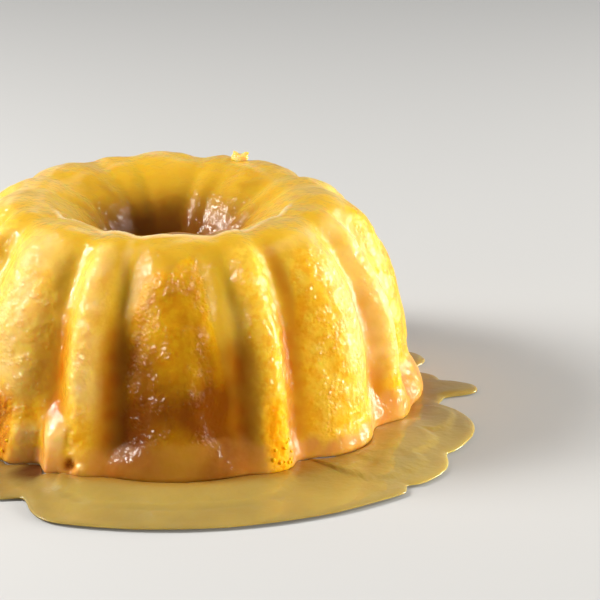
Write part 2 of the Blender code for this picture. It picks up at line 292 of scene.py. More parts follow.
class NodeSheet:
    """Short way to write down a material's nodes, which all read Object coordinates."""

    def __init__(self, name):
        self.material = bpy.data.materials.new(name)
        self.material.use_nodes = True
        self.tree = self.material.node_tree
        self.shader = self.tree.nodes["Principled BSDF"]
        self.place = self.tree.nodes.new("ShaderNodeTexCoord").outputs["Object"]

    def give(self, socket, value):
        if isinstance(value, bpy.types.NodeSocket):
            self.tree.links.new(value, socket)
        elif isinstance(value, tuple) and len(value) == 3 and socket.type == "RGBA":
            socket.default_value = (*value, 1.0)
        else:
            socket.default_value = value

    def set(self, **values):
        """Sets the Principled shader's inputs, whose names are written with underscores."""
        for name, value in values.items():
            self.give(self.shader.inputs[name.replace("_", " ")], value)

    def math(self, operation, *values, clamp=False):
        item = self.tree.nodes.new("ShaderNodeMath")
        item.operation = operation
        item.use_clamp = clamp
        for socket, value in zip(item.inputs, values):
            self.give(socket, value)
        return item.outputs[0]

    def mix(self, share, first, second):
        """Colour between first and second."""
        item = self.tree.nodes.new("ShaderNodeMix")
        item.data_type = "RGBA"
        self.give(item.inputs["Factor"], share)
        self.give(item.inputs[6], first)
        self.give(item.inputs[7], second)
        return item.outputs[2]

    def blend(self, share, first, second):
        """Number between first and second."""
        item = self.tree.nodes.new("ShaderNodeMix")
        self.give(item.inputs[0], share)
        self.give(item.inputs[2], first)
        self.give(item.inputs[3], second)
        return item.outputs[0]

    def remap(self, value, low, high, to_low=0.0, to_high=1.0):
        item = self.tree.nodes.new("ShaderNodeMapRange")
        item.interpolation_type = "SMOOTHSTEP"
        for socket, given in zip(item.inputs, (value, low, high, to_low, to_high)):
            self.give(socket, given)
        return item.outputs[0]

    def noise(self, size, detail=2.0, roughness=0.5):
        item = self.tree.nodes.new("ShaderNodeTexNoise")
        self.give(item.inputs["Vector"], self.place)
        item.inputs["Scale"].default_value = 1.0 / size
        item.inputs["Detail"].default_value = detail
        item.inputs["Roughness"].default_value = roughness
        return item.outputs["Fac"]

    def cells(self, size, smoothness=0.6):
        item = self.tree.nodes.new("ShaderNodeTexVoronoi")
        item.feature = "SMOOTH_F1"
        self.give(item.inputs["Vector"], self.place)
        item.inputs["Scale"].default_value = 1.0 / size
        item.inputs["Smoothness"].default_value = smoothness
        return item.outputs["Distance"]

    def facing(self):
        """0 where the surface faces the eye, 1 where it is seen edge on."""
        return self.tree.nodes.new("ShaderNodeLayerWeight").outputs["Facing"]

    def attribute(self, name):
        item = self.tree.nodes.new("ShaderNodeAttribute")
        item.attribute_name = name
        return item.outputs["Fac"]

    def relief(self, height, depth, strength=1.0):
        item = self.tree.nodes.new("ShaderNodeBump")
        self.give(item.inputs["Strength"], strength)
        item.inputs["Distance"].default_value = depth
        self.give(item.inputs["Height"], height)
        return item.outputs["Normal"]


# Azimuth of the middle of each lobe that is painted with shade, darker towards its foot: the front
# lobe and two at the back. Also how many degrees beside it that starts to fade and has gone
SHADED_LOBES = (0.0, 135.0, 225.0)
SHADED_LOBE_EDGE = (11.0, 25.0)
# The tongue of glaze down the front lobe: azimuth, half width in degrees, and the heights between
# which it fades in. The edge of the thick glaze dips down there.
TONGUE = (13.4, 8.5)
TONGUE_HEIGHTS = (50.0 * MM, 64.0 * MM)
EDGE_DIP = (12.2, 6.5)
EDGE_DIP_DEPTH = 20.0 * MM
# How high the crumb shows on a lobe and on a ridge, how much less it does 10 degrees beside the
# middle of the lobe, and the half width of the crumb on a ridge in degrees
LOBE_TOP = 91.5 * MM
LOBE_SAG = 13.0 * MM
RIDGE_TOP = 91.0 * MM
RIDGE_WIDTH = 5.6
# The runs of creamy glaze that stand at the foot: azimuth, half width, length
CREAMY_RUNS = ((-36.6, 3.0 * MM, 22.0 * MM), (-28.3, 3.8 * MM, 26.0 * MM))
# The toasted hollow at the foot and the bead of glaze beside it: azimuth, height, radius
HOLLOW = (-23.9, 6.4 * MM, 4.4 * MM)
BEAD = (-21.2, 6.2 * MM, 2.4 * MM)
# Height of the cake that counts as much as its radius does in the slow noise round it
RING_HEIGHT = 80.0 * MM
# The lip of run-together glaze round the top, partly a painted highlight line: its radius, half its width,
# how far it swings out at the front, the azimuth where it does, and the azimuths between which it fades out
LIP_RADIUS = 57.0 * MM
LIP_WIDTH = 2.0 * MM
LIP_SWELL = 10.5 * MM
LIP_FRONT = 4.0
LIP_ENDS = (60.0, 85.0)


class Chart:
    """Where each point of the cake lies, and the few shares that many others build on."""

    def __init__(self, points):
        self.points = points
        self.azimuth, self.radius, self.height = to_polar(points)
        lobe = np.round(self.azimuth / PERIOD) * PERIOD
        self.offset = np.abs(angle_between(self.azimuth, lobe))
        self.ring = on_circle(180.0 - self.azimuth, self.height / RING_HEIGHT)
        self.wave = rough(self.ring, 0.22, 3.7)
        self.small_wave = rough(self.ring, 0.07, 8.1)
        self.side = fade(self.radius, SIDE_START, SIDE_FULL)
        # wet is 1 on the lobes that are painted with shade
        self.wet = self.on_shaded_lobes()
        self.tongue = np.minimum(1.0, 1.4 * self.at(*TONGUE)) * self.above(*TONGUE_HEIGHTS)
        self.runs = self.on_creamy_runs()
        self.ridge_crumb = self.on_ridge(RIDGE_WIDTH + 2.0 * self.wave)
        self.ridge_crumb *= fade(RIDGE_TOP - self.height, 0.0, 6.0 * MM)

    def at(self, centre, half_width):
        """1 at the azimuth centre, 0 from half_width degrees beside it on."""
        return bump(angle_between(self.azimuth, centre), half_width)

    def above(self, low, high):
        """0 up to the height low, 1 from high on."""
        return fade(self.height, low, high)

    def below(self, low, high):
        """1 up to the height low, 0 from high on."""
        return 1.0 - fade(self.height, low, high)

    def foot_patch(self, centre, half_width, low, high):
        """1 in a patch at the foot, which fades out between the heights low and high."""
        return self.at(centre, half_width) * self.below(low, high)

    def in_groove(self, half_width):
        """1 in the grooves, 0 from half_width degrees beside them on."""
        return bump(self.offset - GROOVE_OFFSET, half_width)

    def on_ridge(self, half_width):
        """1 on the ridges, 0 from half_width degrees beside them on."""
        return bump(self.offset - RIDGE_OFFSET, half_width)

    def on_spot(self, centre, level, size):
        """1 in the middle of a round spot at the foot, 0 from its edge on."""
        across = np.radians(angle_between(self.azimuth, centre)) * self.radius
        return bump(np.hypot(across, self.height - level), size) * fade(self.radius, *FOOT_RADII)

    def on_shaded_lobes(self):
        """1 on the lobes that are painted with shade, which darkens them towards the foot."""
        turns = [np.abs(angle_between(self.azimuth, centre)) for centre in SHADED_LOBES]
        return np.maximum.reduce([1.0 - fade(turn, *SHADED_LOBE_EDGE) for turn in turns])

    def on_creamy_runs(self):
        """1 on the runs of creamy glaze at the foot, which are wide above and narrow below."""
        share = 0.0 * self.height
        for centre, half_width, length in CREAMY_RUNS:
            across = np.radians(angle_between(self.azimuth, centre)) * self.radius
            width = half_width * (1.0 + 0.9 * np.maximum(self.height, 0.0) / length)
            run = fade(width - np.abs(across), -0.5 * MM, 2.5 * MM)
            share = np.maximum(share, run * self.below(0.70 * length, length))
        return share * fade(self.radius, *FOOT_RADII)


def lobe_crumb_share(chart):
    """Crumb on the lobes, below the arched edge of the thick glaze."""
    edge = LOBE_TOP - LOBE_SAG * (chart.offset / 10.0) ** 4
    edge += 6.0 * MM * chart.wave + 3.0 * MM * chart.small_wave
    edge -= EDGE_DIP_DEPTH * chart.at(*EDGE_DIP)
    return fade(edge - chart.height, 0.0, 3.5 * MM) * (1.0 - fade(chart.offset, 10.0, 14.0))


# Upper edge of the glaze that is banked up at the foot: its height, how much of that it swings up
# and down, how many times it does round the cake, and where the swings start in degrees
SKIRT_HEIGHT = 13.5 * MM
SKIRT_SWING = 0.35
SKIRT_SWINGS = 5.0
SKIRT_PHASE = 70.0


def skirt_share(chart):
    """Glaze that has run down and banked up at the foot."""
    swing = SKIRT_SWING * np.sin(np.radians(SKIRT_SWINGS * chart.azimuth + SKIRT_PHASE))
    top = SKIRT_HEIGHT * (1.0 + swing) + 3.0 * MM * chart.small_wave
    return 1.0 - fade(chart.height, top - 1.5 * MM, top + 2.5 * MM)


# Patches at the foot that no glaze covers: azimuth, half width in degrees, and the heights between
# which they fade out. The left foot is toasted too, and a run of glaze parts it.
BARE_FEET = (
    (23.6, 4.2, 26.0 * MM, 40.0 * MM),
    (98.0, 6.0, 18.0 * MM, 30.0 * MM),
    (158.0, 5.0, 12.0 * MM, 24.0 * MM),
    (222.0, 7.0, 22.0 * MM, 34.0 * MM),
)
LEFT_FOOT = (-44.0, 10.0, 22.0 * MM, 38.0 * MM)
LEFT_FOOT_RUN = (-38.6, 2.4)


def left_foot_share(chart):
    return chart.foot_patch(*LEFT_FOOT) * (1.0 - chart.at(*LEFT_FOOT_RUN))


def underside_share(chart):
    return chart.below(0.2 * MM, 1.2 * MM)


def low_hole_share(chart):
    """1 on the lower wall of the hole."""
    return (1.0 - fade(chart.radius, 30.0 * MM, 40.0 * MM)) * chart.below(18.0 * MM, 42.0 * MM)


def bare_share(chart):
    """Crumb that no glaze covers: in patches at the foot, on the underside and low in the hole."""
    share = left_foot_share(chart)
    for patch in BARE_FEET:
        share = np.maximum(share, chart.foot_patch(*patch))
    share = np.clip(share * (1.6 + 1.2 * chart.small_wave), 0.0, 1.0)
    return np.maximum.reduce([share, underside_share(chart), 0.8 * low_hole_share(chart)])


def toast_share(chart):
    """Browned crumb: at the left foot, in its hollow, on the underside and low in the hole."""
    patches = rough(chart.points, 9.0 * MM, 5.5)
    share = np.maximum(1.2 * left_foot_share(chart), 0.85 * underside_share(chart))
    share = np.maximum(share * (0.75 + 0.5 * patches), 0.55 * low_hole_share(chart))
    share *= 1.0 - chart.runs
    return np.maximum(share, 1.2 * chart.on_spot(*HOLLOW)) * (1.0 - chart.on_spot(*BEAD))


# The groove beside the front right ridge, which lies in shade: azimuth, half width in degrees
SHADED_GROOVE = (32.6, 3.4)


def amber_and_shade_share(chart, bare):
    """Clear glaze that fills the lower part of the grooves, partly painted shade in them, with painted
    shade in the shaded groove.
    """
    share = chart.in_groove(5.4) * chart.side * chart.below(56.0 * MM, 78.0 * MM) * (1.0 - bare)
    share *= (0.85 + 0.35 * chart.small_wave) * (1.0 - chart.tongue)
    shade = chart.at(*SHADED_GROOVE) * chart.side * chart.above(45.0 * MM, 60.0 * MM)
    return np.maximum(share, 0.6 * shade)


# Where a pale film of glaze has set on the side, partly painted sheen of the lights on the lit lobes:
# azimuth, half width in degrees, and the heights between which all the films fade in
PALE_FILMS = ((68.0, 15.0), (51.5, 10.0), (-22.0, 5.0), (-44.0, 13.0), (110.0, 10.0), (176.0, 11.0),
              (268.0, 12.0))
FILM_HEIGHTS = (18.0 * MM, 40.0 * MM)


def milk_and_sheen_share(chart, glaze):
    """Pale glaze, partly painted sheen and highlight: in the creamy runs, paler towards their tops, on the
    bead, in streaks and arcs on the top and in films on the side.
    """
    share = chart.runs * (0.25 + 0.6 * chart.above(8.0 * MM, 16.0 * MM))
    share = np.maximum(share, 0.9 * chart.on_spot(*BEAD))
    streaks = fade(rough(chart.ring, np.array([0.11, 0.11, 0.5]), 1.3), 0.15, 0.6)
    outer_top = fade(chart.radius, 58.0 * MM, 70.0 * MM) * chart.above(50.0 * MM, 85.0 * MM)
    share += 0.35 * glaze * streaks * outer_top
    rings = on_circle(chart.azimuth, chart.radius / (7.0 * MM) + 0.8 * chart.wave)
    arcs = fade(rough(rings * np.array([2.2, 2.2, 1.0]), 1.0, 6.6), 0.10, 0.50)
    crest = bump(chart.radius - 68.0 * MM, 24.0 * MM) * chart.above(82.0 * MM, 92.0 * MM)
    share += 0.55 * arcs * crest
    for centre, half_width in PALE_FILMS:
        film = chart.at(centre, half_width) * chart.above(*FILM_HEIGHTS) * chart.side
        share = np.maximum(share, 0.80 * film * (0.8 + 0.6 * chart.small_wave))
    return share


# Azimuth and half width in degrees of the left wall of the hole, which gets less painted shade
HOLE_LEFT = (-75.0, 60.0)
# Deep shade between the runs of glaze and in the slit beside the bead: azimuth, half width in
# degrees, and the heights between which it fades out
DARK_GAPS = (
    (-33.6, 3.0, 6.0 * MM, 12.0 * MM),
    (-23.6, 2.6, 2.8 * MM, 4.2 * MM),
)


def hole_shade_share(chart):
    """Painted shade on the wall of the hole, and on the strip inside the lip at the front."""
    wall = chart.below(74.0 * MM, 95.0 * MM) * (1.0 - fade(chart.radius, 50.0 * MM, 62.0 * MM))
    wall *= 0.88 - 0.34 * chart.at(*HOLE_LEFT)
    strip = fade(lip_middle(chart.azimuth) - chart.radius, 0.5 * MM, 3.5 * MM)
    return np.maximum(wall, 0.85 * strip * chart.at(LIP_FRONT, 50.0))


def painted_shade_share(chart, skirt, bare):
    """Painted shade: darker towards the foot, most on the shaded lobes, on the wall of the hole and in the
    deep shade at the foot.
    """
    drift = rough(chart.points, np.array([7.0 * MM, 7.0 * MM, 30.0 * MM]), 2.9)
    share = 1.0 - fade(chart.height + 16.0 * MM * drift, 26.0 * MM, 112.0 * MM)
    share *= (0.10 + 0.95 * chart.wet) * (1.0 - 0.12 * skirt) * (1.0 - 0.12 * bump(chart.offset, 7.0))
    share *= 1.0 - 0.75 * chart.tongue
    share *= 1.0 - 0.26 * chart.in_groove(4.0)
    share *= 1.0 - 0.65 * chart.in_groove(6.0) * chart.above(54.0 * MM, 72.0 * MM)
    share *= (1.0 - bare) * (1.0 - 0.7 * chart.ridge_crumb) * (0.95 + 0.4 * chart.wave)
    share = np.maximum(share, hole_shade_share(chart)) * (1.0 - chart.runs)
    for gap in DARK_GAPS:
        share = np.maximum(share, chart.foot_patch(*gap))
    return share


def cream_and_sheen_share(chart, amber):
    """Pale film over the crumb of the lobes without painted shade and on the ridges: partly set glaze,
    partly painted sheen of the lights.
    """
    share = chart.side * (1.0 - chart.wet) * (1.0 - amber)
    share *= 0.62 + 0.5 * chart.small_wave + 0.3 * chart.wave
    share *= (1.0 - 0.30 * bump(chart.offset, 8.0)) * (1.0 - 0.6 * bump(chart.offset - 12.0, 5.0))
    return share + 0.35 * chart.side * chart.on_ridge(6.0) * chart.above(20.0 * MM, 40.0 * MM)


def lip_middle(azimuth):
    """Radius of the middle of the lip, which swings wide at the front."""
    swell = LIP_SWELL * bump(azimuth - LIP_FRONT, 55.0)
    return LIP_RADIUS + swell + 1.2 * MM * rough(on_circle(azimuth, 0.0 * azimuth), 0.20, 4.9)


def lip_and_highlight_share(chart):
    """1 along the wavy lip of glaze at the front of the top, painted pale as a highlight line, 0 beside it.
    """
    strength = 0.80 + 0.9 * rough(on_circle(chart.azimuth, 0.0 * chart.azimuth), 0.3, 9.3)
    strength *= 1.0 - fade(np.abs(chart.azimuth), *LIP_ENDS)
    line = bump(chart.radius - lip_middle(chart.azimuth), LIP_WIDTH)
    return np.clip(strength, 0.0, 1.0) * line * chart.above(80.0 * MM, 88.0 * MM)


# The strip of the front lobe's left shoulder that is less glossy: azimuth, half width in degrees
DULL_STRIP = (-11.5, 6.5)


def cake_shares(chart):
    """Share of each finish at each point of the cake, by its name in the material."""
    bare = bare_share(chart)
    skirt = skirt_share(chart) * (1.0 - bare)
    bare *= 1.0 - chart.runs
    crumb = np.maximum(lobe_crumb_share(chart), chart.ridge_crumb) * chart.side
    glaze = np.clip(1.0 - crumb * (1.0 - skirt) - bare, 0.0, 1.0)
    amber = amber_and_shade_share(chart, bare)
    bare = np.maximum(bare, chart.on_spot(*HOLLOW))
    return {
        "glaze": glaze,
        "milk": milk_and_sheen_share(chart, glaze),
        "bare": bare,
        "toast": toast_share(chart),
        "amber": amber,
        # soaked is painted shade: darker towards the foot, in the hole and in the gaps at the foot
        "soaked": painted_shade_share(chart, skirt, bare),
        "cream": cream_and_sheen_share(chart, amber),
        # The skirt fades on the shaded lobes, so that their painted shade shows at the foot
        "skirt": skirt * (1.0 - 0.72 * chart.wet),
        "lip": lip_and_highlight_share(chart),
        "dull": chart.at(*DULL_STRIP) * chart.above(45.0 * MM, 60.0 * MM),
    }


# The torn edge of the front right ridge: azimuth, half width in degrees, and the distances from
# the axis between which it fades in
TORN_EDGE = (26.8, 2.6)
TORN_RADII = (CREST_RADIUS + 6.0 * MM, 94.0 * MM)
# How far the skin stands out on the lip, the bead, the creamy runs and the thick glaze, and how far
# it sinks in the hollow and on bare crumb
LIP_RISE = 1.1 * MM
BEAD_RISE = 1.4 * MM
RUN_RISE = 0.9 * MM
GLAZE_RISE = 0.35 * MM
HOLLOW_DEPTH = 2.2 * MM
BARE_DEPTH = 0.5 * MM


def crumb_strength(chart, glaze):
    """How much the lumps of crumb stand out: most on the ridges and on the torn edge."""
    patches = fade(rough(chart.points, 13.0 * MM, 6.1), -0.35, 0.35)
    ridge = chart.on_ridge(6.0) * fade(chart.radius, CREST_RADIUS, CREST_RADIUS + 12.0 * MM)
    torn = chart.at(*TORN_EDGE) * fade(chart.radius, *TORN_RADII)
    crumb = np.clip(1.0 - glaze, 0.0, 1.0) * (0.25 + 0.5 * patches + 0.8 * ridge)
    return np.maximum(crumb, 2.6 * torn)


def shape_cake_skin(mesh, settings):
    """Lumps of crumb, waves of the glaze and its run-together edges, pushed along the normals."""
    chart = Chart(read_points(mesh))
    shares = cake_shares(chart)
    push = settings.wave_depth * rough(chart.points, 17.0 * MM, 2.2)
    falls = np.array([8.0 * MM, 8.0 * MM, 18.0 * MM])
    push += 0.5 * settings.wave_depth * rough(chart.points, falls, 9.4)
    lumps = 0.62 * lumpy(chart.points, 5.5 * MM, 4.4) + 0.38 * lumpy(chart.points, 2.9 * MM, 7.9)
    strength = 0.30 + 0.70 * crumb_strength(chart, shares["glaze"])
    push += settings.crumb_depth * (lumps - 0.55) * strength
    grains = lumpy(chart.points, 2.6 * MM, 1.7) - 0.5
    push += 1.5 * settings.crumb_depth * grains * np.clip(shares["bare"], 0.0, 1.0)
    push += GLAZE_RISE * shares["glaze"] - BARE_DEPTH * shares["bare"]
    push += LIP_RISE * shares["lip"] - HOLLOW_DEPTH * chart.on_spot(*HOLLOW)
    push += BEAD_RISE * chart.on_spot(*BEAD)
    push += RUN_RISE * chart.runs * chart.above(10.0 * MM, 18.0 * MM)
    push *= chart.above(0.2 * MM, 2.5 * MM)
    write_points(mesh, chart.points + read_points(mesh, "normal") * push[:, None])
    for name, share in shares.items():
        write_attribute(mesh, name, share)


# Widths of the patterns in the crumb and in the glaze on it
PATCH_SIZE = 4.5 * MM
GRAIN_SIZE = 1.9 * MM
FINE_SIZE = 0.9 * MM
CLUSTER_SIZE = 8.0 * MM
SKIRT_RUN_SIZE = 6.0 * MM
RIPPLE_SIZE = 4.4 * MM
DROP_SIZE = 2.6 * MM
# Depth of the relief in the crumb and in the wet coat over it
CRUMB_RELIEF = 0.7 * MM
COAT_RELIEF = 1.8 * MM
# Wet butter glaze, and how far light travels in it and in the crumb
GLAZE_IOR = 1.42
GLAZE_ROUGHNESS = 0.06
LIGHT_REACH = 4.0 * MM


def skin_colour(sheet, settings, patches, fine):
    """The finishes, each laid over the ones before it by its share."""
    mottling = sheet.remap(patches, 0.0, 1.0, 0.35, 1.0)
    runs = sheet.remap(sheet.noise(SKIRT_RUN_SIZE, 3.0, 0.6), 0.30, 0.70, 0.45, 0.90)
    browning = sheet.remap(fine, 0.3, 0.7, 0.6, 1.2)
    layers = (
        (sheet.math("MULTIPLY", sheet.attribute("glaze"), 0.9), settings.glaze_colour),
        (sheet.math("MULTIPLY", sheet.attribute("cream"), mottling), settings.cream_and_sheen_colour),
        (sheet.attribute("amber"), settings.amber_and_shade_colour),
        # soaked: painted shade
        (sheet.attribute("soaked"), settings.painted_shade_colour),
        (sheet.math("MULTIPLY", sheet.attribute("skirt"), runs), settings.skirt_colour),
        (sheet.attribute("milk"), settings.milk_and_sheen_colour),
        (sheet.attribute("lip"), settings.lip_and_highlight_colour),
        (sheet.attribute("bare"), settings.bare_colour),
        (sheet.math("MULTIPLY", sheet.attribute("toast"), browning, clamp=True), settings.toast_colour),
    )
    colour = sheet.mix(patches, tuple(settings.deep_colour), tuple(settings.crumb_colour))
    for share, tint in layers:
        colour = sheet.mix(share, colour, tuple(tint))
    return colour


def head_on(sheet, strength):
    """Strength of a relief, which fades where the surface is seen edge on."""
    return sheet.remap(sheet.facing(), 0.55, 0.90, strength, 0.1)


def coat_weight(sheet, bare):
    """Gloss of the wet coat, which fades on bare crumb, on the dull strip and edge on."""
    weight = sheet.math("SUBTRACT", 1.0, sheet.math("MULTIPLY", bare, 0.85))
    weight = sheet.math("MULTIPLY", weight, sheet.remap(sheet.facing(), 0.70, 0.97, 1.0, 0.10))
    return sheet.math("MULTIPLY", weight, sheet.blend(sheet.attribute("dull"), 1.0, 0.2))


def cake_material(settings):
    """Butter crumb under a wet glaze: pale and smooth where the glaze is thick."""
    sheet = NodeSheet("glazed crumb")
    bare = sheet.attribute("bare")
    patches = sheet.remap(sheet.noise(PATCH_SIZE, 5.0, 0.65), 0.35, 0.65)
    fine = sheet.noise(FINE_SIZE, 3.0, 0.6)
    clusters = sheet.remap(sheet.noise(CLUSTER_SIZE), 0.40, 0.60, 0.20, 1.0)

    thin = sheet.math("SUBTRACT", 1.0, sheet.attribute("glaze"), clamp=True)
    shown = sheet.math("MULTIPLY", sheet.math("ADD", thin, 0.10), clusters)
    shown = sheet.math("MAXIMUM", shown, bare)
    grains = sheet.math("SUBTRACT", 1.0, sheet.cells(GRAIN_SIZE))
    height = sheet.math("ADD", sheet.math("MULTIPLY", grains, 0.7), sheet.math("MULTIPLY", fine, 0.3))
    height = sheet.math("MULTIPLY", height, shown)

    drops = sheet.math("MULTIPLY", sheet.noise(DROP_SIZE), clusters)
    wet = sheet.math("ADD", sheet.noise(RIPPLE_SIZE, 3.0, 0.55), sheet.math("MULTIPLY", drops, 0.6))
    wet = sheet.math("MULTIPLY", wet, sheet.blend(thin, 0.75, 1.0))
    coat_height = sheet.math("ADD", sheet.math("MULTIPLY", height, 0.8), wet)

    off_lip = sheet.math("SUBTRACT", 1.0, sheet.math("MULTIPLY", sheet.attribute("lip"), 0.9), clamp=True)
    sheet.set(Base_Color=skin_colour(sheet, settings, patches, fine),
              Normal=sheet.relief(height, CRUMB_RELIEF, head_on(sheet, 0.7)),
              Coat_Normal=sheet.relief(coat_height, COAT_RELIEF, head_on(sheet, 0.95)),
              Roughness=sheet.blend(bare, 0.38, 0.8), Specular_IOR_Level=0.12,
              Coat_Weight=coat_weight(sheet, bare), Coat_Roughness=GLAZE_ROUGHNESS,
              Coat_IOR=GLAZE_IOR, Subsurface_Weight=off_lip, Subsurface_Scale=LIGHT_REACH,
              Subsurface_Radius=(1.0, 0.48, 0.10))
    return sheet.material


def open_underside(piece):
    """Trades the fine faces of the flat underside for long ones between its two edges."""
    select_only(piece)
    bpy.ops.object.mode_set(mode="EDIT")
    bpy.ops.mesh.select_mode(type="FACE")
    bpy.ops.mesh.select_all(action="DESELECT")
    shape = bmesh.from_edit_mesh(piece.data)
    for face in shape.faces:
        face.select = face.normal.z < -0.97 and face.calc_center_median().z < 0.5 * MM
    bmesh.update_edit_mesh(piece.data)
    bpy.ops.mesh.delete(type="FACE")
    bpy.ops.mesh.select_mode(type="EDGE")
    bpy.ops.mesh.select_all(action="DESELECT")
    bpy.ops.mesh.select_non_manifold(extend=False, use_wire=False, use_multi_face=False,
                                     use_non_contiguous=False, use_verts=False)
    bpy.ops.mesh.bridge_edge_loops()
    bpy.ops.mesh.select_mode(type="VERT")
    bpy.ops.object.mode_set(mode="OBJECT")


class GlazedCakeSkin(bpy.types.Operator):
    """Make the glazed skin of the ring cake"""
    bl_idname = "mesh.glazed_cake_skin"
    bl_label = "Cake Skin"

    def execute(self, context):
        settings = context.scene.ring_cake.cake
        piece = copy_of_node("cake", "glazed_cake")
        apply_modifier(piece, "Rounding", "SUBSURF", levels=2, render_levels=2)
        apply_modifier(piece, "Even faces", "REMESH", mode="VOXEL", voxel_size=settings.mesh_step)
        apply_modifier(piece, "Smooth faces", "SMOOTH", factor=0.5, iterations=3)
        open_underside(piece)
        shape_cake_skin(piece.data, settings)
        finish_piece(piece, cake_material(settings), "cake")
        return {"FINISHED"}


def puddle_material(settings):
    """Thick butter glaze: satin, slightly see-through, paler where it is thick, with painted shade and a
    painted reflection of the cake near it, painted shade in the gap and on the left, and painted light on
    the right.
    """
    sheet = NodeSheet("butter glaze")
    clouds = sheet.remap(sheet.noise(22.0 * MM, 3.0, 0.55), 0.35, 0.7)
    paler = tuple(1.12 * part for part in settings.colour)
    shade_and_reflection_tint = tuple(part * tint for part, tint in zip(settings.colour, (0.95, 0.72, 0.42)))
    bright = tuple(min(1.0, 1.45 * part) for part in settings.colour)
    layers = (
        (sheet.attribute("thick"), settings.colour),
        (sheet.math("MULTIPLY", clouds, 0.5), paler),
        (sheet.attribute("near"), shade_and_reflection_tint),
        (sheet.attribute("dark"), settings.shaded_glaze_colour),
        (sheet.attribute("gap"), settings.gap_colour),
        (sheet.attribute("bright"), bright),
    )
    colour = tuple(settings.thin_colour)
    for share, tint in layers:
        colour = sheet.mix(share, colour, tuple(tint))
    ripple = sheet.noise(11.0 * MM, 3.0)
    coat = sheet.remap(sheet.facing(), 0.75, 0.98, 1.0, 0.2)
    sheet.set(Base_Color=colour, Roughness=0.45, Specular_IOR_Level=0.15,
              Normal=sheet.relief(ripple, 1.6 * MM, 0.5),
              Coat_Weight=coat, Coat_Roughness=GLAZE_ROUGHNESS, Coat_IOR=GLAZE_IOR,
              Subsurface_Weight=1.0, Subsurface_Scale=LIGHT_REACH,
              Subsurface_Radius=(1.0, 0.7, 0.3))
    return sheet.material


# Layers that lie on the puddle: start and end in degrees, reach from the axis, thickness
PUDDLE_LAYERS = (
    (-26.0, 25.0, 146.0 * MM, 0.9 * MM),
    (33.0, 52.0, 150.0 * MM, 0.8 * MM),
    (44.0, 62.0, 141.0 * MM, 0.9 * MM),
    (60.0, 76.0, 139.0 * MM, 0.8 * MM),
    (160.0, 196.0, 140.0 * MM, 0.9 * MM),
    (275.0, 300.0, 131.0 * MM, 0.7 * MM),
)
# How far out a layer reaches at its two ends
LAYER_ROOT = 112.0 * MM
# Where the thin film painted as deep shade reaches in between two runs, and where the puddle has
# painted shade and where painted light: azimuth, half width in degrees
SHADE_FILM_SPAN = (-32.6, 4.2)
PUDDLE_SHADE_SPAN = (-52.0, 34.0)
PUDDLE_LIGHT_SPAN = (52.0, 24.0)


def puddle_layers(azimuth, radius):
    """Thickness of the layers at each point."""
    height = np.zeros(len(azimuth))
    for start, end, reach, thickness in PUDDLE_LAYERS:
        half_width = (end - start) / 2.0
        share = np.clip(np.abs(angle_between(azimuth, start + half_width)) / half_width, 0.0, 1.0)
        edge = LAYER_ROOT + (reach - LAYER_ROOT) * np.sqrt(1.0 - share ** 4)
        height = np.maximum(height, thickness * fade(edge - radius, 0.0, 2.0 * MM))
    return height


def shape_puddle(mesh, settings):
    """Tucks the puddle in under the skirt, lays the layers on it and keeps its shares."""
    points = read_points(mesh)
    azimuth, radius, height = to_polar(points)
    cake = tree_of(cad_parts["cake"])
    gap = np.array([cake.find_nearest(place)[3] for place in points.tolist()])
    # The thin film between two runs is a sheet painted with deep shade
    film = bump(angle_between(azimuth, SHADE_FILM_SPAN[0]), SHADE_FILM_SPAN[1])
    film *= 1.0 - fade(radius, 124.0 * MM, 132.0 * MM)
    tuck = settings.tuck * (1.0 - fade(gap, 1.0 * MM, 3.0 * MM))
    tuck = np.maximum(tuck, settings.shade_film_reach * film)
    layers = puddle_layers(azimuth, radius)
    points[:, 2] *= 1.0 - 0.6 * film
    points[:, :2] *= (1.0 - tuck / radius)[:, None]
    upper = fade(height, 0.8 * MM, 2.2 * MM)
    swell = 0.35 * MM * rough(points, 24.0 * MM, 6.6)
    points[:, 2] += (layers + swell) * upper
    write_points(mesh, points)
    write_attribute(mesh, "thick", 0.40 + layers / (1.5 * MM))
    # Painted shade and painted orange reflection of the cake, near it
    write_attribute(mesh, "near", 1.0 - fade(radius, 117.0 * MM, 129.0 * MM))
    # The film between two runs is painted as deep shade
    write_attribute(mesh, "gap", 1.6 * film)
    # Painted shade on the left of the puddle and painted light on the right
    write_attribute(mesh, "dark", bump(angle_between(azimuth, PUDDLE_SHADE_SPAN[0]), PUDDLE_SHADE_SPAN[1]))
    write_attribute(mesh, "bright", bump(angle_between(azimuth, PUDDLE_LIGHT_SPAN[0]), PUDDLE_LIGHT_SPAN[1]))


class GlazePuddle(bpy.types.Operator):
    """Make the puddle of butter glaze round the cake"""
    bl_idname = "mesh.glaze_puddle"
    bl_label = "Glaze Puddle"

    def execute(self, context):
        settings = context.scene.ring_cake.puddle
        piece = copy_of_node("glaze_pool", "glaze_puddle")
        apply_modifier(piece, "Rounding", "SUBSURF", levels=2, render_levels=2)
        shape_puddle(piece.data, settings)
        finish_piece(piece, puddle_material(settings), "glaze_pool")
        return {"FINISHED"}


def tree_of(item):
    """Search tree of an object's faces."""
    shape = bmesh.new()
    shape.from_mesh(item.data)
    tree = BVHTree.FromBMesh(shape)
    shape.free()
    return tree


# A distance from the axis that is outside the cake
OUTSIDE = 200.0 * MM


def surface_point(tree, azimuth, height):
    """Point and normal where a level line towards the axis meets the cake's side."""
    start = from_polar(azimuth, OUTSIDE, height)
    place, normal = tree.ray_cast(start, Vector((-start.x, -start.y, 0.0)))[:2]
    if place is None:
        raise RuntimeError("no side of the cake at azimuth %.1f, height %.4f" % (azimuth, height))
    return place, normal


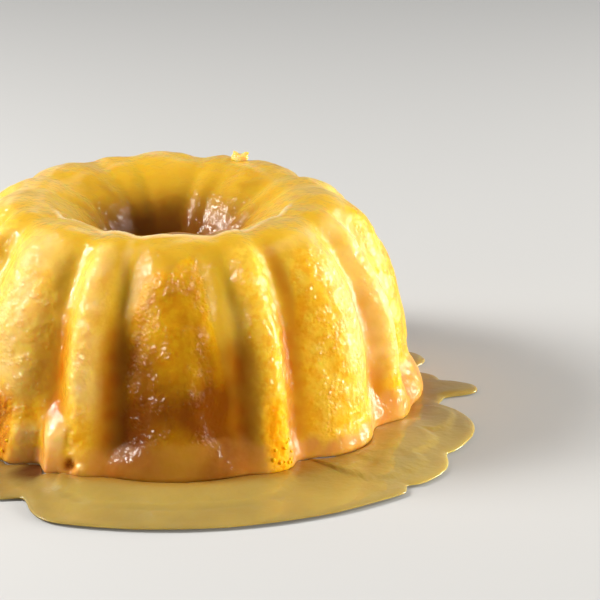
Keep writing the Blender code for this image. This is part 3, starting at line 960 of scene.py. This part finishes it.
def lump_on(place, normal, size, draw):
    """One crumb: an icosphere pulled out of shape, half sunk in what carries it."""
    shape = bmesh.new()
    bmesh.ops.create_icosphere(shape, subdivisions=2, radius=size / 2.0)
    shift = Vector((draw.uniform(0.0, 50.0), 0.0, 0.0))
    for vertex in shape.verts:
        vertex.co *= 1.0 + 0.55 * noise.noise(vertex.co / (0.45 * size) + shift)
    stretch = Matrix.Diagonal((draw.uniform(0.8, 1.3), draw.uniform(0.7, 1.1), draw.uniform(0.6, 0.9), 1.0))
    turn = Euler([draw.uniform(0.0, math.tau) for axis in range(3)]).to_matrix().to_4x4()
    shape.transform(Matrix.Translation(place + normal * size * 0.12) @ turn @ stretch)
    return shape


def join_shapes(name, shapes):
    """One object from many small closed meshes."""
    mesh = bpy.data.meshes.new(name)
    whole = bmesh.new()
    for shape in shapes:
        part = bpy.data.meshes.new("part")
        shape.to_mesh(part)
        shape.free()
        whole.from_mesh(part)
        bpy.data.meshes.remove(part)
    whole.to_mesh(mesh)
    whole.free()
    piece = bpy.data.objects.new(name, mesh)
    bpy.context.scene.collection.objects.link(piece)
    return piece


# Where crumbs have come off: azimuth, half width in degrees, highest place, share of the crumbs
CRUMB_SPOTS = (
    (24.0, 3.0, 16.0 * MM, 0.35),
    (-43.0, 6.0, 14.0 * MM, 0.25),
    (98.0, 5.0, 12.0 * MM, 0.15),
    (222.0, 6.0, 14.0 * MM, 0.25),
)
LOWEST_CRUMB = 4.0 * MM


class LooseCrumbs(bpy.types.Operator):
    """Make the crumbs that cling to the foot of the cake"""
    bl_idname = "mesh.loose_cake_crumbs"
    bl_label = "Loose Crumbs"

    def execute(self, context):
        settings = context.scene.ring_cake.scraps
        draw = random.Random(5)
        tree = tree_of(bpy.data.objects["glazed_cake"])
        shapes = []
        for centre, half_width, top, share in CRUMB_SPOTS:
            for index in range(round(settings.crumb_count * share)):
                azimuth = centre + half_width * draw.uniform(-1.0, 1.0)
                height = LOWEST_CRUMB + (top - LOWEST_CRUMB) * draw.random() ** 1.6
                place, normal = surface_point(tree, azimuth, height)
                size = settings.crumb_size * draw.uniform(0.4, 1.0)
                shapes.append(lump_on(place, normal, size, draw))
        piece = join_shapes("loose_crumbs", shapes)
        write_attribute(piece.data, "bare", np.full(len(piece.data.vertices), 0.55))
        finish_piece(piece, bpy.data.materials["glazed crumb"])
        return {"FINISHED"}


# The chip of crust on the rim: azimuth, radius and height of its middle, its turn about the vertical
# in degrees, its stretch along its own axes, and how much its two ends bend up
CHIP_PLACE = (149.0, 69.5 * MM, 97.4 * MM)
CHIP_TURN = 161.0
CHIP_STRETCH = (1.05, 0.50, 0.72)
CHIP_BEND = 0.35


class RimChip(bpy.types.Operator):
    """Make the chip of crust that stands on the far rim of the top"""
    bl_idname = "mesh.cake_rim_chip"
    bl_label = "Rim Chip"

    def execute(self, context):
        size = context.scene.ring_cake.scraps.chip_size
        bpy.ops.object.select_all(action="DESELECT")
        bpy.ops.mesh.primitive_ico_sphere_add(subdivisions=4, radius=size / 2.0)
        piece = context.object
        piece.name = "rim_chip"
        points = read_points(piece.data)
        lumps = 0.45 * rough(points, 0.42 * size, 3.3) + 0.16 * rough(points, 0.16 * size, 8.8)
        points *= (1.0 + lumps)[:, None] * np.array(CHIP_STRETCH)
        points[:, 2] += CHIP_BEND * np.abs(points[:, 0])
        turn = Matrix.Rotation(math.radians(CHIP_TURN), 3, "Z")
        points = points @ np.array(turn).T + np.array(from_polar(*CHIP_PLACE))
        write_points(piece.data, points)
        write_attribute(piece.data, "milk", np.full(len(points), 0.75))
        write_attribute(piece.data, "glaze", np.full(len(points), 0.6))
        finish_piece(piece, bpy.data.materials["glazed crumb"])
        return {"FINISHED"}


FLOOR_SIZE = 14.0
FLOOR_DROP = 0.05 * MM
SENSOR_WIDTH = 36.0
# Softboxes: azimuth and elevation in degrees, distance, width and height, and whether they show in
# reflections
SOFTBOXES = {
    "key": (103.0, 10.0, 1.40, (0.50, 0.80), True),
    "window": (-94.0, 34.0, 1.40, (0.50, 0.50), True),
    "right": (54.0, 10.0, 1.50, (0.60, 0.40), False),
    "left": (-64.0, 10.0, 1.50, (0.60, 0.40), False),
}
LIGHT_COLOUR = (1.0, 0.955, 0.88)
LIGHT_AIM = Vector((0.0, 0.0, 50.0 * MM))


def add_floor(colour):
    """Pale floor just under the cake, which throws no light back on it."""
    bpy.ops.object.select_all(action="DESELECT")
    bpy.ops.mesh.primitive_plane_add(size=FLOOR_SIZE, location=(0.0, 0.0, -FLOOR_DROP))
    floor = bpy.context.object
    floor.name = "floor"
    sheet = NodeSheet("pale floor")
    sheet.set(Base_Color=tuple(colour), Roughness=0.9, Specular_IOR_Level=0.08)
    floor.data.materials.append(sheet.material)
    floor.visible_diffuse = False
    floor.visible_glossy = False


def add_softbox(name, power):
    """Area light that faces the middle of the cake."""
    azimuth, elevation, distance, size, reflected = SOFTBOXES[name]
    rise = math.radians(elevation)
    place = from_polar(azimuth, distance * math.cos(rise), distance * math.sin(rise))
    light = bpy.data.lights.new(name, "AREA")
    light.shape = "RECTANGLE"
    light.size, light.size_y = size
    light.energy = power
    light.color = LIGHT_COLOUR
    item = bpy.data.objects.new(name, light)
    item.location = place
    item.rotation_euler = (LIGHT_AIM - place).to_track_quat("-Z", "Y").to_euler()
    item.visible_glossy = reflected
    bpy.context.scene.collection.objects.link(item)


# The sky's colour, and the pale far wall that reflections show: where it begins and is full, as a
# share of the way to +Y, and its brightness beside the sky's
SKY_COLOUR = (0.80, 0.80, 0.79, 1.0)
WALL_START = 0.60
WALL_FULL = 0.92
WALL_BRIGHTNESS = 1.3


def even_sky(strength, gloss):
    """Even light from all round, which reflections show as a darker room with a pale far wall."""
    world = bpy.data.worlds.new("studio")
    world.use_nodes = True
    nodes = world.node_tree.nodes
    nodes["Background"].inputs["Color"].default_value = SKY_COLOUR
    path = nodes.new("ShaderNodeLightPath")
    level = nodes.new("ShaderNodeMapRange")
    level.inputs["To Min"].default_value = strength
    place = nodes.new("ShaderNodeTexCoord")
    axes = nodes.new("ShaderNodeSeparateXYZ")
    wall = nodes.new("ShaderNodeMapRange")
    wall.inputs["From Min"].default_value = WALL_START
    wall.inputs["From Max"].default_value = WALL_FULL
    wall.inputs["To Min"].default_value = strength * gloss
    wall.inputs["To Max"].default_value = strength * WALL_BRIGHTNESS
    world.node_tree.links.new(place.outputs["Generated"], axes.inputs[0])
    world.node_tree.links.new(axes.outputs["Y"], wall.inputs["Value"])
    world.node_tree.links.new(wall.outputs[0], level.inputs["To Max"])
    world.node_tree.links.new(path.outputs["Is Glossy Ray"], level.inputs["Value"])
    world.node_tree.links.new(level.outputs[0], nodes["Background"].inputs["Strength"])
    return world


def add_camera(settings):
    lens = bpy.data.cameras.new("camera")
    lens.lens = settings.lens
    lens.sensor_width = SENSOR_WIDTH
    lens.clip_start = 50.0 * MM
    camera = bpy.data.objects.new("camera", lens)
    bpy.context.scene.collection.objects.link(camera)
    turn = Matrix.Rotation(-settings.camera_yaw, 4, "Z")
    turn @= Matrix.Rotation(math.pi / 2.0 - settings.camera_pitch, 4, "X")
    turn @= Matrix.Rotation(settings.camera_roll, 4, "Z")
    camera.matrix_world = Matrix.Translation(settings.camera_place) @ turn
    return camera


class CakeStage(bpy.types.Operator):
    """Make the floor, the lights and the camera"""
    bl_idname = "scene.ring_cake_stage"
    bl_label = "Stage"

    def execute(self, context):
        settings = context.scene.ring_cake.stage
        add_floor(settings.floor_colour)
        context.scene.world = even_sky(settings.sky, settings.sky_gloss)
        for name in SOFTBOXES:
            add_softbox(name, getattr(settings, name + "_power"))
        context.scene.camera = add_camera(settings)
        context.scene.view_settings.view_transform = "Standard"
        return {"FINISHED"}


class RingCakePanel(bpy.types.Panel):
    """Lists the pieces of the ring cake."""
    bl_idname = "VIEW3D_PT_ring_cake"
    bl_label = "Ring Cake"
    bl_space_type = "VIEW_3D"
    bl_region_type = "UI"
    bl_category = "Ring Cake"

    def draw(self, context):
        for operator in OPERATORS:
            self.layout.operator(operator.bl_idname)


OPERATORS = (GlazedCakeSkin, GlazePuddle, LooseCrumbs, RimChip, CakeStage)
CLASSES = (CakeSettings, PuddleSettings, ScrapSettings, StageSettings, CakeSceneSettings,
           *OPERATORS, RingCakePanel)


def register():
    for item in CLASSES:
        bpy.utils.register_class(item)
    bpy.types.Scene.ring_cake = PointerProperty(type=CakeSceneSettings)


def unregister():
    del bpy.types.Scene.ring_cake
    for item in reversed(CLASSES):
        bpy.utils.unregister_class(item)


def main():
    register()
    bpy.ops.mesh.glazed_cake_skin()
    bpy.ops.mesh.glaze_puddle()
    bpy.ops.mesh.loose_cake_crumbs()
    bpy.ops.mesh.cake_rim_chip()
    bpy.ops.scene.ring_cake_stage()


if __name__ == "__main__":
    main()
